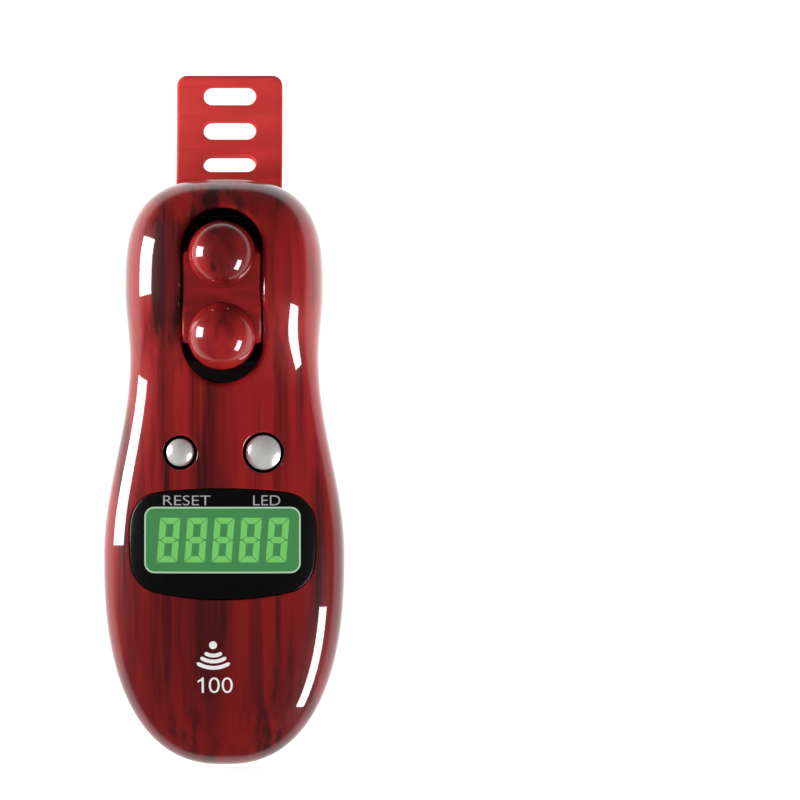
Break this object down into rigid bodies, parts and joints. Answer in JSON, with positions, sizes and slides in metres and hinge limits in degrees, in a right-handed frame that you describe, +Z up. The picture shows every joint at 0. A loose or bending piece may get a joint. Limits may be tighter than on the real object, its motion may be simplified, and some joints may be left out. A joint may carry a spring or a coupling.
{
  "type": "digital tasbih counter",
  "caption": "Finger-worn prayer counter: waisted red case with a rolling bead wheel, LCD window, metal buttons and a soft slotted finger strap.",
  "frame": {"origin": "on the axis of the finger loop, level with the bead wheel, in the middle of the case's width", "axes": "+X to the viewer's right along the finger, +Y to the rear, +Z up along the case"},
  "size_m": [0.0372, 0.0477, 0.1074],
  "materials": {
    "case_red": "clear-coated red wood-grain print",
    "bead_red": "clear-coated red wood-grain print",
    "polished_metal": "polished",
    "window_black": "gloss with a clear view area",
    "lcd_green": "lit green",
    "white_plastic": "matte",
    "dark_rubber": "matte",
    "board_green": "solder mask",
    "black_plastic": "matte",
    "steel": "plain",
    "bush_brass": "plain",
    "strap_red": "matte silicone"
  },
  "bodies": {
    "case": {"front_shell": "case_red", "rear_shell": "case_red", "battery_door": "case_red", "display_window": "window_black", "lcd_glass": "lcd_green", "lcd_frame": "white_plastic", "light_diffuser": "white_plastic", "backlight_lamps": "white_plastic", "connector_strips": "dark_rubber", "motor_sleeve": "dark_rubber", "main_board": "board_green", "controller_chip": "black_plastic", "reset_switch": "black_plastic", "light_switch": "black_plastic", "axle_clamp_left": "black_plastic", "axle_clamp_right": "black_plastic", "board_screws": "steel", "clamp_screws": "steel", "case_screws": "steel", "battery_door_screw": "steel", "coin_cell": "steel", "negative_contact": "steel", "positive_contact": "steel", "motor_can": "steel", "count_leaf": "steel", "strap_pin": "steel", "strap_retainers": "steel", "axle_bush_left": "bush_brass", "axle_bush_right": "bush_brass", "strap_pad": "strap_red"},
    "bead_wheel": {"bead_drum": "bead_red", "bead_1": "bead_red", "bead_2": "bead_red", "bead_3": "bead_red", "wheel_axle": "steel"},
    "reset_key": {"reset_button": "polished_metal", "reset_plunger": "black_plastic"},
    "light_key": {"light_button": "polished_metal", "light_plunger": "black_plastic"},
    "motor_rotor": {"motor_shaft": "steel", "motor_weight": "steel"},
    "strap_1": {"strap_link_1": "strap_red"},
    "strap_2": {"strap_link_2": "strap_red"},
    "strap_3": {"strap_link_3": "strap_red"},
    "strap_4": {"strap_link_4": "strap_red"},
    "strap_5": {"strap_tip": "strap_red"},
    "peg_half": {"pegged_band": "strap_red"}
  },
  "joints": [
    {"name": "bead_wheel_spin", "type": "hinge", "parent": "case", "child": "bead_wheel", "pos_m": [0, -0.0254, 0], "axis": [1, 0, 0], "continuous": true, "deforming": ["count_leaf"]},
    {"name": "reset_press", "type": "slide", "parent": "case", "child": "reset_key", "axis": [0, 1, 0], "range_m": [0, 0.0005], "stiffness_N_per_m": 600},
    {"name": "light_press", "type": "slide", "parent": "case", "child": "light_key", "axis": [0, 1, 0], "range_m": [0, 0.0005], "stiffness_N_per_m": 600},
    {"name": "motor_weight_spin", "type": "hinge", "parent": "case", "child": "motor_rotor", "pos_m": [0, -0.0164, -0.0616], "axis": [1, 0, 0], "continuous": true},
    {"name": "strap_root_bend", "type": "hinge", "parent": "case", "child": "strap_1", "pos_m": [0, -0.00533, 0.01372], "axis": [-1, 0, 0], "range_deg": [0, 17.1]},
    {"name": "strap_close", "type": "hinge", "parent": "strap_1", "child": "strap_2", "pos_m": [0, -0.00039, 0.01624], "axis": [-1, 0, 0], "range_deg": [0, 56.5], "stiffness_Nm_per_rad": 0.01},
    {"name": "strap_bend_3", "type": "hinge", "parent": "strap_2", "child": "strap_3", "pos_m": [0, 0.00209, 0.02121], "axis": [-1, 0, 0], "range_deg": [0, 36.6]},
    {"name": "strap_bend_4", "type": "hinge", "parent": "strap_3", "child": "strap_4", "pos_m": [0, 0.00305, 0.02667], "axis": [-1, 0, 0], "range_deg": [0, 28.1]},
    {"name": "strap_tip_bend", "type": "hinge", "parent": "strap_4", "child": "strap_5", "pos_m": [0, 0.00324, 0.03222], "axis": [-1, 0, 0], "range_deg": [0, 22.1]},
    {"name": "peg_half_swing", "type": "hinge", "parent": "case", "child": "peg_half", "pos_m": [0, -0.01, -0.0158], "axis": [-1, 0, 0], "range_deg": [0, 25]}
  ],
  "couplings": [
    {"joint": "strap_root_bend", "follows": "strap_close", "ratio": 0.30088},
    {"joint": "strap_bend_3", "follows": "strap_close", "ratio": 0.64602},
    {"joint": "strap_bend_4", "follows": "strap_close", "ratio": 0.49558},
    {"joint": "strap_tip_bend", "follows": "strap_close", "ratio": 0.38938}
  ]
}
